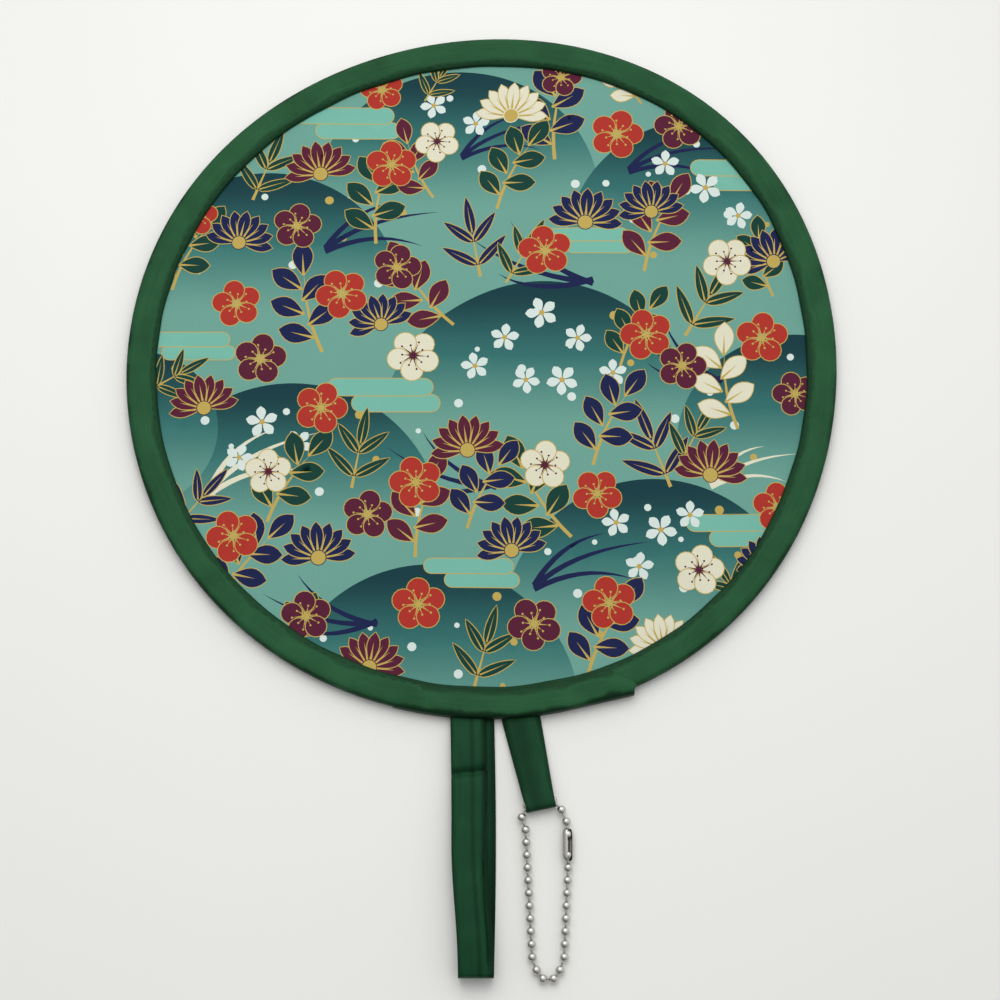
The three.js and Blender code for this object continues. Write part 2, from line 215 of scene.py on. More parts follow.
def add_node(tree, kind, inputs=None, **settings):
    """Adds a shader node with its settings, and with a value or a link for each socket in inputs."""
    made = tree.nodes.new("ShaderNode" + kind)
    for name, value in settings.items():
        setattr(made, name, value)
    connect(tree, made, inputs or {})
    return made


def connect(tree, node, inputs):
    for key, value in inputs.items():
        if isinstance(value, bpy.types.NodeSocket):
            tree.links.new(value, node.inputs[key])
        else:
            node.inputs[key].default_value = value


def new_material(name):
    material = bpy.data.materials.new(name)
    material.use_nodes = True
    return material, material.node_tree, material.node_tree.nodes["Principled BSDF"]


def band_scale(spacing):
    """The Wave texture's scale for bands that far apart, since it has 20 radians in a unit."""
    return FULL_TURN / 20 / spacing


def new_piece(name, bm, *materials):
    """A piece made of a bmesh, smooth shaded, at the origin."""
    mesh = bpy.data.meshes.new(name)
    bm.to_mesh(mesh)
    bm.free()
    mesh.shade_smooth()
    return link_piece(name, mesh, *materials)


def link_piece(name, mesh, *materials):
    for material in materials:
        mesh.materials.append(material)
    piece = bpy.data.objects.new(name, mesh)
    bpy.context.scene.collection.objects.link(piece)
    return piece


def thicken(piece, thickness, offset, subdivisions=0, back_material=0):
    """Gives a sheet its thickness, behind its faces at offset -1 and before them at 1, and rounds it."""
    wall = piece.modifiers.new("Thickness", "SOLIDIFY")
    wall.thickness = thickness
    wall.offset = offset
    wall.material_offset = back_material
    if subdivisions:
        rounding = piece.modifiers.new("Rounding", "SUBSURF")
        rounding.levels = rounding.render_levels = subdivisions


def wobble(*coordinates):
    """Smooth noise from -1 to 1."""
    return noise.noise(Vector((*coordinates, 0, 0)[:3]))


def inset(radius):
    """How far a point of the disc lies inside the rim's outer fold, in mm."""
    return (RIM_RADIUS - radius) / MM


def hoop_scale(angle):
    """How much further out than a true circle the hoop lies, as a factor."""
    waves = sum(size * math.cos(count * angle - math.radians(phase)) for count, size, phase in HOOP_WAVES)
    return 1 + waves * MM / RIM_RADIUS


def on_disc(radius, angle, height):
    """A point of the disc, with the height measured from the rim's middle plane."""
    reach = radius * hoop_scale(angle)
    return CENTRE + Vector((reach * math.cos(angle), reach * math.sin(angle), height))


def lay_on_disc(bm):
    """Takes a ring that was made true and flat to the hoop's own shape and place."""
    for vert in bm.verts:
        vert.co = on_disc(vert.co.xy.length, math.atan2(vert.co.y, vert.co.x), vert.co.z)


def fold_with_disc(piece):
    """Bakes the piece's place into its mesh; the piece is not attached to the disc's upper half."""
    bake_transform(piece)


def tape_grid(length, width, steps_along, steps_across, middle=0.0):
    """A flat strip of tape, its length along X and its width along Y.

    Its UV map holds its flat place, measured across from its middle.
    """
    bm = bmesh.new()
    bmesh.ops.create_grid(bm, x_segments=steps_along, y_segments=steps_across, size=0.5)
    bmesh.ops.scale(bm, vec=(length, width, 1), verts=bm.verts)
    flat = bm.loops.layers.uv.new("tape")
    for face in bm.faces:
        for loop in face.loops:
            loop[flat].uv = (loop.vert.co.x, loop.vert.co.y - middle)
    return bm


def lay_tape(bm, place):
    """Moves each point of a flat strip to where place puts it."""
    for vert in bm.verts:
        vert.co = place(vert.co.x, vert.co.y)


def curve_through(points, steps):
    """Points of a smooth curve through the given ones, evenly spread along it, and its length."""
    points = np.array(points, float)
    ends = np.concatenate([[2 * points[0] - points[1]], points, [2 * points[-1] - points[-2]]])
    dense = []
    for before, a, b, after in zip(ends, ends[1:], ends[2:], ends[3:]):
        for t in np.linspace(0, 1, 24, endpoint=False):
            bend = 2 * before - 5 * a + 4 * b - after
            twist = 3 * a - before - 3 * b + after
            dense.append(a + 0.5 * t * (b - before + t * (bend + t * twist)))
    dense = np.array([*dense, points[-1]])
    length = np.concatenate([[0], np.cumsum(np.linalg.norm(np.diff(dense, axis=0), axis=1))])
    even = np.linspace(0, length[-1], steps)
    return np.stack([np.interp(even, length, axis) for axis in dense.T], 1), length[-1]


def nearest(line, share):
    """The point of an evenly spaced line at a share of its length."""
    return line[min(len(line) - 1, max(0, round(share * (len(line) - 1))))]


# Materials, with the size of each one's grain

CLOTH_CLOUD = 18 * MM
STREAK_LENGTH, STREAK_WIDTH = 16 * MM, 0.6 * MM
SATIN_CLOUD = 11 * MM
BAND_WAVER = 4.4 * MM
HANDLING_MARK = 0.55 * MM
ROLLED_LENGTH, ROLLED_WIDTH = 3.3 * MM, 0.11 * MM
THREAD_TWIST = 0.3 * MM
PAPER_MOTTLE = 110 * MM
MIX_A, MIX_B, MIX_RESULT = 6, 7, 2  # the Mix node's colour sockets


def printed_polyester(name, inks, show_through):
    """Printed polyester taffeta: a fine plain weave, nearly matt, whose inks soak through to the back."""
    material, tree, shader = new_material(name)
    ink = add_node(tree, "Attribute", attribute_name="print")
    flat = add_node(tree, "UVMap", uv_map="cloth").outputs[0]
    threads = {"Vector": flat, "Scale": band_scale(inks.thread)}
    warp = add_node(tree, "TexWave", threads, bands_direction="X")
    weft = add_node(tree, "TexWave", threads, bands_direction="Y")
    weave = add_node(tree, "Math", {0: warp.outputs["Fac"], 1: weft.outputs["Fac"]}, operation="MULTIPLY")
    cloud = add_node(tree, "TexNoise", {"Vector": flat, "Scale": 1 / CLOTH_CLOUD, "Detail": 4.0})
    uneven = add_node(tree, "Math", {0: cloud.outputs["Fac"], 1: weave.outputs[0]}, operation="ADD")
    light = add_node(tree, "MapRange", {
        "Value": uneven.outputs[0], "From Max": 2.0, "To Min": 0.93, "To Max": 1.07,
    })
    soaked = add_node(tree, "Mix", {
        "Factor": 1 - show_through, MIX_A: ink.outputs["Color"], MIX_B: inks.white,
    }, data_type="RGBA")
    tint = add_node(tree, "VectorMath", {
        "Vector": soaked.outputs[MIX_RESULT], "Scale": light.outputs[0],
    }, operation="SCALE")
    bump = add_node(tree, "Bump", {"Height": weave.outputs[0], "Strength": 0.25, "Distance": 0.05 * MM})
    connect(tree, shader, {
        "Base Color": tint.outputs[0], "Normal": bump.outputs[0], "Roughness": 0.7, "Specular IOR Level": 0.1,
    })
    return material


def polyester_satin(name, tape, dye, shine, bands, crease_shades=()):
    """Polyester satin tape: long floats give a soft green shine; the dye holds painted sheen streaks
    and painted shade along its sewn edges, folds and crease lines.

    Each band of painted shade names its distance from the tape's middle, the distance where it ends and
    its tone. A crease of painted shade names its place across the tape, how far it reaches to each side
    and its tone.
    """
    material, tree, shader = new_material(name)
    flat = add_node(tree, "UVMap", uv_map="tape").outputs[0]
    streak_scale = (1 / STREAK_LENGTH, 1 / STREAK_WIDTH, 1)
    long_way = add_node(tree, "Mapping", {"Vector": flat, "Scale": streak_scale})
    streak = add_node(tree, "TexNoise", {"Vector": long_way.outputs[0], "Scale": 1.0, "Detail": 3.0})
    floats = add_node(tree, "TexWave", {
        "Vector": flat, "Scale": band_scale(tape.float_spacing), "Distortion": 1.5, "Detail": 1.0,
    }, bands_direction="Y")
    cloud = add_node(tree, "TexNoise", {"Vector": flat, "Scale": 1 / SATIN_CLOUD, "Detail": 3.0})
    # Painted sheen: lengthwise streaks over random tone lighten and darken the dye, rougher where darker.
    sheen_streaks = add_node(tree, "Math", {
        0: streak.outputs["Fac"], 1: 0.5, 2: cloud.outputs["Fac"],
    }, operation="MULTIPLY_ADD")
    sheen_range = {"Value": sheen_streaks.outputs[0], "From Min": 0.45, "From Max": 1.05}
    light = add_node(tree, "MapRange", {**sheen_range, "To Min": 0.78, "To Max": 1.22})
    across = add_node(tree, "SeparateXYZ", {"Vector": flat}).outputs["Y"]
    from_middle = add_node(tree, "Math", {0: across}, operation="ABSOLUTE")
    uneven = add_node(tree, "Math", {
        0: cloud.outputs["Fac"], 1: BAND_WAVER, 2: from_middle.outputs[0],
    }, operation="MULTIPLY_ADD")
    edges = [(uneven, begin + BAND_WAVER / 2, end + BAND_WAVER / 2, tone) for begin, end, tone in bands]
    for place, reach, tone in crease_shades:
        to_side = add_node(tree, "Math", {0: across, 1: place}, operation="SUBTRACT")
        away = add_node(tree, "Math", {0: to_side.outputs[0]}, operation="ABSOLUTE")
        edges.append((away, 0, reach, tone))
    # Painted shade: each band and crease line darkens the dye towards its tone.
    for way, begin, end, tone in edges:
        shade = add_node(tree, "MapRange", {
            "Value": way.outputs[0], "From Min": begin, "From Max": end, "To Min": tone, "To Max": 1.0,
        }, interpolation_type="SMOOTHSTEP")
        light = add_node(tree, "Math", {0: light.outputs[0], 1: shade.outputs[0]}, operation="MULTIPLY")
    tint = add_node(tree, "VectorMath", {"Vector": dye[:3], "Scale": light.outputs[0]}, operation="SCALE")
    dull = add_node(tree, "MapRange", {**sheen_range, "To Min": 0.62, "To Max": 0.46})
    bump = add_node(tree, "Bump", {"Height": floats.outputs["Fac"], "Strength": 0.2, "Distance": 0.04 * MM})
    connect(tree, shader, {
        "Base Color": tint.outputs[0], "Roughness": dull.outputs[0], "Normal": bump.outputs[0],
        "Specular IOR Level": shine, "Specular Tint": tape.gloss,
    })
    return material


def nickel_plate(name, chain):
    """Nickel-plated steel: bright, slightly warm, with fine handling marks."""
    material, tree, shader = new_material(name)
    place = add_node(tree, "TexCoord").outputs["Object"]
    marks = add_node(tree, "TexNoise", {"Vector": place, "Scale": 1 / HANDLING_MARK, "Detail": 4.0})
    dull = add_node(tree, "MapRange", {"Value": marks.outputs["Fac"], "To Min": 0.1, "To Max": 0.3})
    bump = add_node(tree, "Bump", {"Height": marks.outputs["Fac"], "Strength": 0.1, "Distance": 0.02 * MM})
    connect(tree, shader, {
        "Base Color": chain.nickel, "Metallic": 1.0, "Roughness": dull.outputs[0], "Normal": bump.outputs[0],
    })
    return material


def spring_steel(name, chain):
    """Rolled spring steel strip: grey, with lines along the way it was rolled."""
    material, tree, shader = new_material(name)
    place = add_node(tree, "TexCoord").outputs["Object"]
    rolled_scale = (1 / ROLLED_LENGTH, 1 / ROLLED_LENGTH, 1 / ROLLED_WIDTH)
    rolled = add_node(tree, "Mapping", {"Vector": place, "Scale": rolled_scale})
    lines = add_node(tree, "TexNoise", {"Vector": rolled.outputs[0], "Scale": 1.0, "Detail": 2.0})
    dull = add_node(tree, "MapRange", {"Value": lines.outputs["Fac"], "To Min": 0.25, "To Max": 0.45})
    connect(tree, shader, {"Base Color": chain.steel, "Metallic": 1.0, "Roughness": dull.outputs[0]})
    return material


def polyester_thread(name, tape):
    """Spun polyester sewing thread in the tape's shaded colour, with its twist as slanting lines."""
    material, tree, shader = new_material(name)
    place = add_node(tree, "TexCoord").outputs["Object"]
    turns = {"Vector": place, "Scale": band_scale(THREAD_TWIST)}
    twist = add_node(tree, "TexWave", turns, bands_direction="DIAGONAL")
    bump = add_node(tree, "Bump", {"Height": twist.outputs["Fac"], "Strength": 0.4, "Distance": 0.05 * MM})
    connect(tree, shader, {
        # Painted shade: the thread takes the satin's shaded copy, so the stitches show as a dark seam line.
        "Base Color": tape.strap, "Normal": bump.outputs[0], "Roughness": 0.65, "Specular IOR Level": 0.12,
    })
    return material


def matt_paper(name, stage):
    """Matt white card under the fan, very slightly mottled."""
    material, tree, shader = new_material(name)
    place = add_node(tree, "TexCoord").outputs["Object"]
    mottle = add_node(tree, "TexNoise", {"Vector": place, "Scale": 1 / PAPER_MOTTLE, "Detail": 3.0})
    shade = add_node(tree, "MapRange", {"Value": mottle.outputs["Fac"], "To Min": 0.985, "To Max": 1.015})
    tint = add_node(tree, "VectorMath", {
        "Vector": stage.floor[:3], "Scale": shade.outputs[0],
    }, operation="SCALE")
    connect(tree, shader, {"Base Color": tint.outputs[0], "Roughness": 0.9, "Specular IOR Level": 0.2})
    return material


# The print, drawn in millimetres from the disc's centre as closed outlines, each over those before it

HILLS = (  # middle x and y, radius
    (-8, 48, 40), (60, 34, 37), (-60, 20, 37), (16, -20, 44), (86, -24, 33),
    (-52, -46, 41), (46, -72, 40), (-14, -96, 40), (-94, -18, 22),
)
DOTS_ON_A_HILL = 26
DOT_TURN = math.radians(137.5)
OUTLINE_WIDTH = 0.24
GRID_STEP = 3.0
GRID_MARGIN = 1.0
CORNERS_MERGE = 1e-4

# Parts of the motifs, with places and lengths as shares of a motif's size
BAMBOO_LEAVES = (  # place along the stem, angle in degrees, length
    (-0.2, 52, 0.5), (-0.2, -52, 0.5), (0.1, 44, 0.46), (0.1, -44, 0.46), (0.2, 0, 0.5),
)
SPRIG_LEAVES = (  # place along the stem, angle in degrees
    (0.16, 66), (0.3, -62), (0.42, 58), (0.56, -52), (0.68, 46), (0.82, -6),
)
REED_BLADES = ((-0.3, 0.8), (0, 1.0), (0.28, 0.72))  # lean in radians, length
MIST_BARS = ((0.1, -0.11, 0.8), (-0.08, 0.08, 1.0))  # middle x and y, length


def circle(x, y, radius, steps=15):
    angles = [FULL_TURN * i / steps for i in range(steps)]
    return [(x + radius * math.cos(a), y + radius * math.sin(a)) for a in angles]


def leaf_outline(length, width, fullness, steps=8):
    """A leaf or petal from the origin along X, widest nearer its tip where fullness is above 1."""
    shares = [i / steps for i in range(steps + 1)]
    side = [(length * t, width / 2 * math.sin(math.pi * t ** fullness) ** 0.8) for t in shares[1:-1]]
    return [(0, 0)] + [(x, -y) for x, y in side] + [(length, 0)] + [(x, y) for x, y in reversed(side)]


def moved(points, x, y, turn):
    c, s = math.cos(turn), math.sin(turn)
    return [(x + c * px - s * py, y + s * px + c * py) for px, py in points]


def grown(points, margin):
    """An outline moved outwards all round."""
    after = points[1:] + points[:1]
    before = points[-1:] + points[:-1]
    out = []
    for (ax, ay), (x, y), (bx, by) in zip(before, points, after):
        side = Vector((by - ay, ax - bx)).normalized()
        out.append((x + margin * side.x, y + margin * side.y))
    return out


def outlined(points, ink, line="gold"):
    return [(grown(points, OUTLINE_WIDTH), line), (points, ink)]


def stroke(start, bend, end, width, steps=9):
    """A blade or stem along a curve, pointed at its far end."""
    start, bend, end = Vector(start), Vector(bend), Vector(end)
    left, right = [], []
    for i in range(steps):
        t = i / steps
        point = start * (1 - t) ** 2 + bend * 2 * t * (1 - t) + end * t * t
        way = (bend - start) * (1 - t) + (end - bend) * t
        side = Vector((-way.y, way.x)).normalized() * width / 2 * (1 - t * t)
        left.append(tuple(point + side))
        right.append(tuple(point - side))
    return right + [tuple(end)] + left[::-1]


def vein(x, y, angle, start, length, width):
    """A straight thin line, pointed at its far end."""
    return moved([(start, -width / 2), (start + length, 0), (start, width / 2)], x, y, angle)


def blossom(x, y, size, turn, ink="red"):
    """A five-petalled plum blossom with stamens."""
    shapes = []
    pollen = "maroon" if ink == "cream" else "gold"
    for k in range(5):
        middle = moved([(0.28 * size, 0)], x, y, turn + k * FULL_TURN / 5)[0]
        shapes += outlined(circle(*middle, 0.2 * size), ink)
    for k in range(10):
        angle = turn + (k + 0.5) * FULL_TURN / 10
        reach = size * (0.2 if k % 2 else 0.27)
        tip = moved([(reach, 0)], x, y, angle)[0]
        shapes.append((vein(x, y, angle, 0, reach, 0.04 * size), pollen))
        shapes.append((circle(*tip, 0.022 * size, 6), pollen))
    return shapes + [(circle(x, y, 0.06 * size, 10), pollen)]


def half_daisy(x, y, size, turn, ink="navy"):
    """A chrysanthemum seen from the side: a fan of nine long petals on a small cup, the middle one on top."""
    shapes = []
    for k in (0, 8, 1, 7, 2, 6, 3, 5, 4):
        angle = turn + math.radians(2 + 22 * k)
        shapes += outlined(moved(leaf_outline(0.5 * size, 0.17 * size, 1.5), x, y, angle), ink)
        shapes.append((vein(x, y, angle, 0.08 * size, 0.28 * size, 0.04 * size), "gold"))
    return shapes + outlined(circle(x, y, 0.1 * size, 12), "gold", ink)


def bamboo(x, y, size, turn, ink="green"):
    """Two tiers of bamboo leaves on one stem."""
    shapes = [(vein(x, y, turn, -0.35 * size, 0.75 * size, 0.04 * size), "gold")]
    for reach, spread, length in BAMBOO_LEAVES:
        foot = moved([(reach * size, 0)], x, y, turn)[0]
        angle = turn + math.radians(spread)
        shapes += outlined(moved(leaf_outline(length * size, 0.12 * size, 0.75), *foot, angle), ink)
        shapes.append((vein(*foot, angle, 0.03 * size, 0.36 * size, 0.02 * size), "gold"))
    return shapes


def sprig(x, y, size, turn, ink="green"):
    """A curved stem with pairs of pointed oval leaves and one at its tip."""
    def along(t):
        return Vector((size * t, 0.12 * size * math.sin(math.pi * t)))

    shapes = [(moved(stroke(along(0), along(0.4), along(0.85), 0.035 * size, 6), x, y, turn), "gold")]
    for t, spread in SPRIG_LEAVES:
        leaf = moved(leaf_outline(0.36 * size, 0.2 * size, 1.2), *along(t), math.radians(spread))
        line = vein(*along(t), math.radians(spread), 0, 0.24 * size, 0.03 * size)
        shapes += outlined(moved(leaf, x, y, turn), ink)
        shapes.append((moved(line, x, y, turn), "gold"))
    return shapes


def starlet(x, y, size, turn, ink="white"):
    """A small open flower of five separate petals."""
    petal = leaf_outline(0.5 * size, 0.3 * size, 1.5, 6)
    petals = [(moved(petal, x, y, turn + k * FULL_TURN / 5), ink) for k in range(5)]
    return petals + [(circle(x, y, 0.09 * size, 8), "gold")]


def reeds(x, y, size, turn, ink="navy"):
    """Three long blades that bow to one side."""
    shapes = []
    for lean, length in REED_BLADES:
        bend = moved([(0.45 * size, 0)], x, y, turn + 0.4 + lean)[0]
        tip = moved([(length * size, 0)], x, y, turn + lean)[0]
        shapes.append((stroke((x, y + 0.06 * size * lean), bend, tip, 0.045 * size), ink))
    return shapes


def mist(x, y, size, turn, ink="mist"):
    """A band of mist: two rounded bars, one over the other."""
    shapes = []
    radius = 0.1 * size
    for dx, dy, length in MIST_BARS:
        half = length * size / 2
        right = [(half + radius * math.cos(a), radius * math.sin(a)) for a in np.linspace(-1.57, 1.57, 9)]
        bar = right + [(-px, -py) for px, py in right]
        shapes += outlined(moved(bar, x + dx * size, y + dy * size, turn), ink)
    return shapes


MOTIFS = (  # each motif with its places: x, y, size, turn in degrees, and any ink but its usual one
    (reeds, (
        (-44, 34, 34, 20), (30, 24, 36, 158), (-74, -36, 34, 30, "cream"), (66, -4, 30, 150),
        (14, -62, 34, 22), (-28, -72, 32, 165), (40, 56, 30, 12), (4, -34, 32, 160), (-6, 62, 28, 20),
        (62, -34, 26, 20, "cream"),
    )),
    (mist, (
        (-38, 73, 24, 0), (72, 55, 22, 0), (-26, -8, 24, 0), (70, -46, 22, 0), (-80, 6, 20, 0),
        (-2, -58, 20, 0), (30, 36, 18, 0),
    )),
    (starlet, (
        (6, 8, 8, 10), (16, 15, 9, 40), (26, 8, 8, 0), (12, -4, 8, 60), (36, -2, 8, 20), (22, -4, 9, 50),
        (50, 58, 8, 15), (61, 51, 9, 45), (70, 43, 8, 5), (-60, -16, 9, 25), (-50, -22, 8, 50),
        (-66, -26, 8, 0), (36, -44, 8, 30), (48, -46, 9, 60), (42, -56, 8, 10), (-2, 0, 8, 30),
        (56, -42, 8, 15), (-14, 78, 8, 40), (-2, 72, 8, 10),
    )),
    (bamboo, (
        (-62, 56, 22, 70), (-2, 34, 23, 100, "navy"), (60, 16, 24, 60), (-34, -27, 22, 80),
        (-78, -40, 20, 50, "navy"), (48, -26, 25, 110, "navy"), (0, -82, 22, 75), (68, -64, 18, 120),
        (-14, 84, 15, 60), (10, 30, 20, 60), (-86, -4, 18, 30), (57, -22, 20, 60),
    )),
    (sprig, (
        (20, 60, 28, 80, "navy"), (-44, 4, 28, 100, "navy"), (44, 27, 26, 65, "maroon"),
        (-8, 12, 26, 125, "maroon"), (-86, 22, 24, 60), (70, -18, 26, 95, "cream"), (24, -48, 28, 120),
        (-70, -66, 26, 50, "navy"), (-18, -54, 26, 75, "maroon"), (28, -86, 26, 60, "navy"),
        (44, 76, 18, 110, "cream"), (-30, 36, 27, 80), (4, 46, 25, 60), (-58, -44, 26, 55),
        (30, -28, 26, 60, "navy"), (-4, -46, 24, 60, "navy"), (38, 0, 22, 60),
        (-14, 50, 22, 110, "maroon"), (80, 20, 20, 100), (-52, -86, 20, 70),
    )),
    (half_daisy, (
        (-46, 57, 20, 10, "maroon"), (8, 74, 20, -6, "cream"), (80, 30, 19, 20), (-68, 36, 19, -12),
        (-4, -24, 20, 8, "maroon"), (62, -31, 20, -8, "maroon"), (-44, -54, 20, 5), (8, -52, 19, 12),
        (-30, -84, 19, -10, "maroon"), (48, -78, 18, 8, "cream"), (-76, -12, 19, 12, "maroon"),
        (28, 41, 20, -5), (-28, 12, 18, 20), (46, 44, 18, 10), (76, -56, 16, 10),
    )),
    (blossom, (
        (-26, 60, 15, 20), (-13, 67, 13, 50, "cream"), (37, 67, 15, 0), (54, 69, 14, 30, "maroon"),
        (-52, 41, 14, 10, "maroon"), (-39, 21, 15, 45), (-24, 29, 14, 5, "maroon"), (17, 33, 15, 25),
        (67, 30, 14, 55, "cream"), (77, 8, 15, 15), (45, 9, 15, 35), (55, 0, 14, 0, "maroon"),
        (-68, 18, 14, 30), (-61, 2, 15, 10, "maroon"), (-19, 3, 15, 50, "cream"), (-44, -12, 15, 0),
        (-18, -33, 15, 35), (17, -28, 14, 15, "cream"), (31, -36, 14, 55), (80, -40, 14, 20),
        (-67, -48, 15, 40), (-31, -42, 14, 10, "maroon"), (34, -66, 15, 30), (58, -57, 14, 5, "cream"),
        (-47, -70, 14, 25, "maroon"), (14, -72, 15, 50, "maroon"), (-17, -67, 15, 20),
        (86, -8, 13, 35, "maroon"), (22, 85, 12, 0, "maroon"), (-29, 83, 13, 30),
        (-58, -30, 13, 20, "cream"), (-80, 44, 12, 10),
    )),
)


def snow_on_hill(x, y, radius):
    """Dots of three sizes spread over the upper part of a hill, white ones and some gold."""
    shapes = []
    for k in range(2, DOTS_ON_A_HILL):
        reach = 0.94 * radius * math.sqrt(k / DOTS_ON_A_HILL)
        px, py = moved([(reach, 0)], x, y, k * DOT_TURN)[0]
        if py > y - 0.1 * radius:
            shapes.append((circle(px, py, 1.25 - 0.25 * (k % 3), 10), "white" if k % 4 else "gold"))
    return shapes


def print_shapes():
    """The whole print from its ground up: outlines with an ink's name or the height of a hill's crest."""
    shapes = [(circle(0, 0, CLOTH_RADIUS / MM, 240), "ground")]
    for x, y, radius in HILLS:
        shapes.append((circle(x, y, radius, 120), y + radius))
        shapes += snow_on_hill(x, y, radius)
    for motif, places in MOTIFS:
        for x, y, size, turn, *ink in places:
            shapes += motif(x, y, size, math.radians(turn), *ink)
    return shapes


def inside(outline, places):
    """The numbers of the places, sorted by x, that lie inside an outline."""
    first, last = np.searchsorted(places[:, 0], (outline[:, 0].min(), outline[:, 0].max()))
    x, y = places[first:last].T
    near = np.flatnonzero((y > outline[:, 1].min()) & (y < outline[:, 1].max()))
    x, y = x[near, None], y[near, None]
    (ax, ay), (bx, by) = outline.T, np.roll(outline, -1, 0).T
    rise = np.where(by == ay, 1, by - ay)
    crossed = ((ay > y) != (by > y)) & (x < ax + (y - ay) * (bx - ax) / rise)
    return first + near[crossed.sum(1) % 2 == 1]


def ink_at(ink, height, inks):
    """The colour of an ink, which on a hill depends on how far below the crest it lies."""
    if isinstance(ink, str):
        return getattr(inks, ink)
    depth = (ink - height) * MM / inks.fade
    if depth < 0.5:
        return mix(inks.hill, inks.slope, smooth(0.05, 0.55, depth))
    return mix(inks.slope, inks.ground, smooth(0.4, 1, depth))


class FAN_OT_cloth(bpy.types.Operator):
    """Stretch the printed cloth in the rim"""

    bl_idname = "fan.cloth"
    bl_label = "Printed cloth"

    def execute(self, context):
        inks = context.scene.fan.cloth
        shapes = print_shapes()
        flat, faces, tops = self.cut_out(shapes)
        mesh = bpy.data.meshes.new("printed_cloth")
        mesh.from_pydata([self.lay(point * MM) for point in flat], [], faces)
        printed = mesh.color_attributes.new("print", "FLOAT_COLOR", "CORNER")
        place = mesh.uv_layers.new(name="cloth")
        for polygon, top in zip(mesh.polygons, tops):
            for loop in polygon.loop_indices:
                point = flat[mesh.loops[loop].vertex_index]
                printed.data[loop].color = ink_at(shapes[top][1], point.y, inks)
                place.data[loop].uv = point * MM
        loose = bmesh.new()
        loose.from_mesh(mesh)
        bmesh.ops.delete(loose, geom=[v for v in loose.verts if not v.link_faces], context="VERTS")
        loose.to_mesh(mesh)
        loose.free()
        mesh.shade_smooth()
        front = printed_polyester("printed_polyester", inks, 1.0)
        back = printed_polyester("printed_polyester_back", inks, inks.back)
        cloth = link_piece("printed_cloth", mesh, front, back)
        thicken(cloth, inks.thickness, 0, back_material=1)
        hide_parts("cloth_lower", "cloth_upper")
        fold_with_disc(cloth)
        return {"FINISHED"}

    def cut_out(self, shapes):
        """The flat cloth as triangles along every outline, and the number of the shape on top of each."""
        corners, edges = [], []
        for points, _ in shapes:
            first = len(corners)
            corners += [Vector(point) for point in points]
            edges += [(first + i, first + (i + 1) % len(points)) for i in range(len(points))]
        edge = CLOTH_RADIUS / MM
        count = int(edge / GRID_STEP)
        rows = range(-count, count + 1)
        grid = [Vector((i * GRID_STEP, j * GRID_STEP)) for i in rows for j in rows]
        corners += [point for point in grid if point.length < edge - GRID_MARGIN]
        flat, _, faces, *_ = delaunay_2d_cdt(corners, edges, [], 0, CORNERS_MERGE, False)
        faces = np.array(faces)
        middles = np.array(flat)[faces].mean(1)
        order = middles[:, 0].argsort()
        faces, middles = faces[order], middles[order]
        on_cloth = inside(np.array(shapes[0][0]), middles)
        faces, middles = faces[on_cloth], middles[on_cloth]
        tops = np.zeros(len(faces), int)
        for number, (points, _) in enumerate(shapes):
            tops[inside(np.array(points), middles)] = number
        return flat, faces.tolist(), tops

    def lay(self, flat):
        """A point of the cloth: taut, with slight puckers where the tape is sewn on."""
        radius, angle = flat.length, math.atan2(flat.y, flat.x)
        depth = inset(radius)
        near_tape = smooth(57.5, 13.5, depth) * smooth(8.5, 11.5, depth)
        in_middle = smooth(9.5, 27.5, depth)
        pucker = 0.25 * wobble(angle * 9, radius * 30) + 0.12 * wobble(angle * 24, 5)
        slack = 0.2 * wobble(flat.x * 22, flat.y * 22, 3)
        return on_disc(radius, angle, MM * (near_tape * pucker + in_middle * slack))


# Rim

RIM_FRONT = (  # the folded tape's front from its sewn edge: mm in from the outer fold, height in mm
    (8.2, 0.45), (7.9, 0.85), (7.3, 1.16), (6.3, 1.38), (4.9, 1.58), (3.3, 1.72), (1.7, 1.82),
    (0.7, 1.76), (0.2, 1.36), (0, 0.6),
)
RIM_SHINE = 0.3
SECTION_POINTS = 25
POINTS_IN_A_STITCH = 5
SEAM_RADIUS = RIM_RADIUS - 6.9 * MM

# The lapped end of the tape: the angles where it begins, leaves the rim's curve and is cut off
LAP_START, LAP_STRAIGHT, LAP_END = (math.radians(angle) for angle in (256, 284, 294.4))
LAP_OVER = 0.12  # how far in mm it lies over the tape below, and out from it round the fold
LAP_THICKNESS = 0.2 * MM
LAP_UNDER = ((-0.2, 0), (-0.2, -0.6), (0.2, -1.4))  # its edge round the outer fold, measured as RIM_FRONT
LAP_CUT = ((-0.2, 0.8, 1.8, 7.3), (-0.5, -0.2, 0.5, -3.2))  # mm in from the outer fold, slant in degrees


